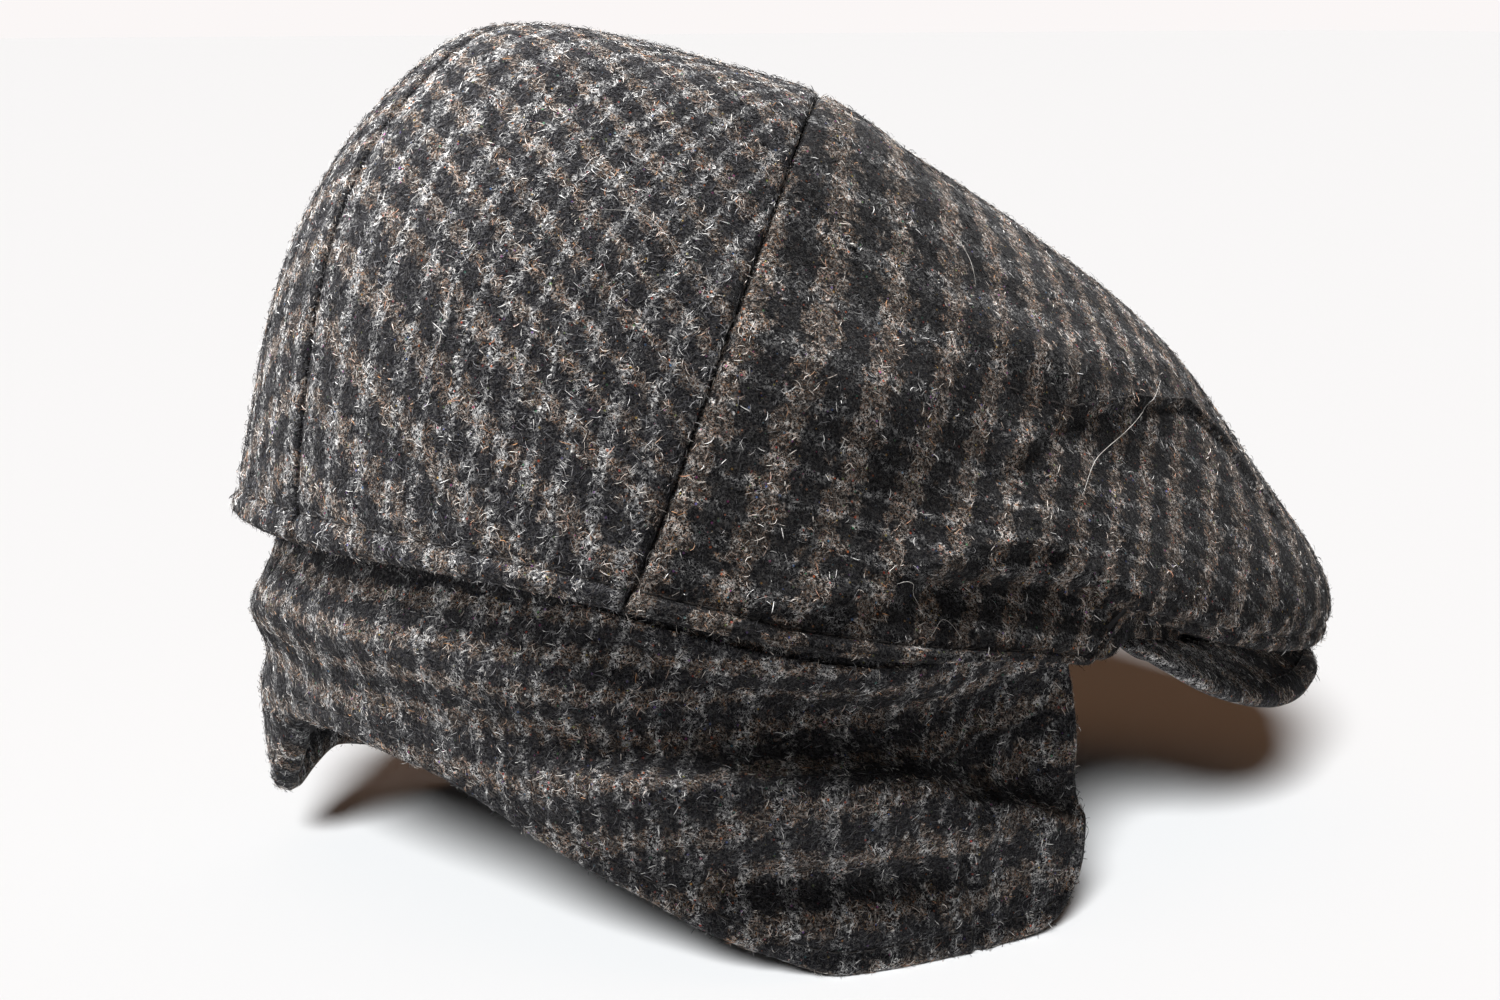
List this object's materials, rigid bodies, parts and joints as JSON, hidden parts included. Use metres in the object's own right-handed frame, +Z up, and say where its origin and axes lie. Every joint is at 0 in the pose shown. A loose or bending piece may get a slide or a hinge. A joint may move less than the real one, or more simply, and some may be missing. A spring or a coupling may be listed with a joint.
{
  "type": "padded wool flat cap with turned-down ear flap",
  "caption": "Checked wool flat cap, padded, with a nose over a short peak and a one-piece ear and neck flap turned down; it stands on its two ear lobes.",
  "frame": {"origin": "on the surface the cap stands on, under the middle of its overall box", "axes": "+X towards the peak, +Y to the wearer's left, +Z up"},
  "size_m": [0.249, 0.1826, 0.1749],
  "materials": {
    "crown_wool": "brushed, felted wool in a small brown, charcoal and light grey check, rough and hairy",
    "peak_wool": "the same checked wool stretched over a stiff core",
    "flap_wool": "the same checked wool outside, plain dark grey lining inside"
  },
  "bodies": {
    "root": {"crown_front": "crown_wool", "crown_rear_right": "crown_wool", "crown_rear_left": "crown_wool", "peak": "peak_wool", "ear_flap": "flap_wool"}
  },
  "joints": []
}
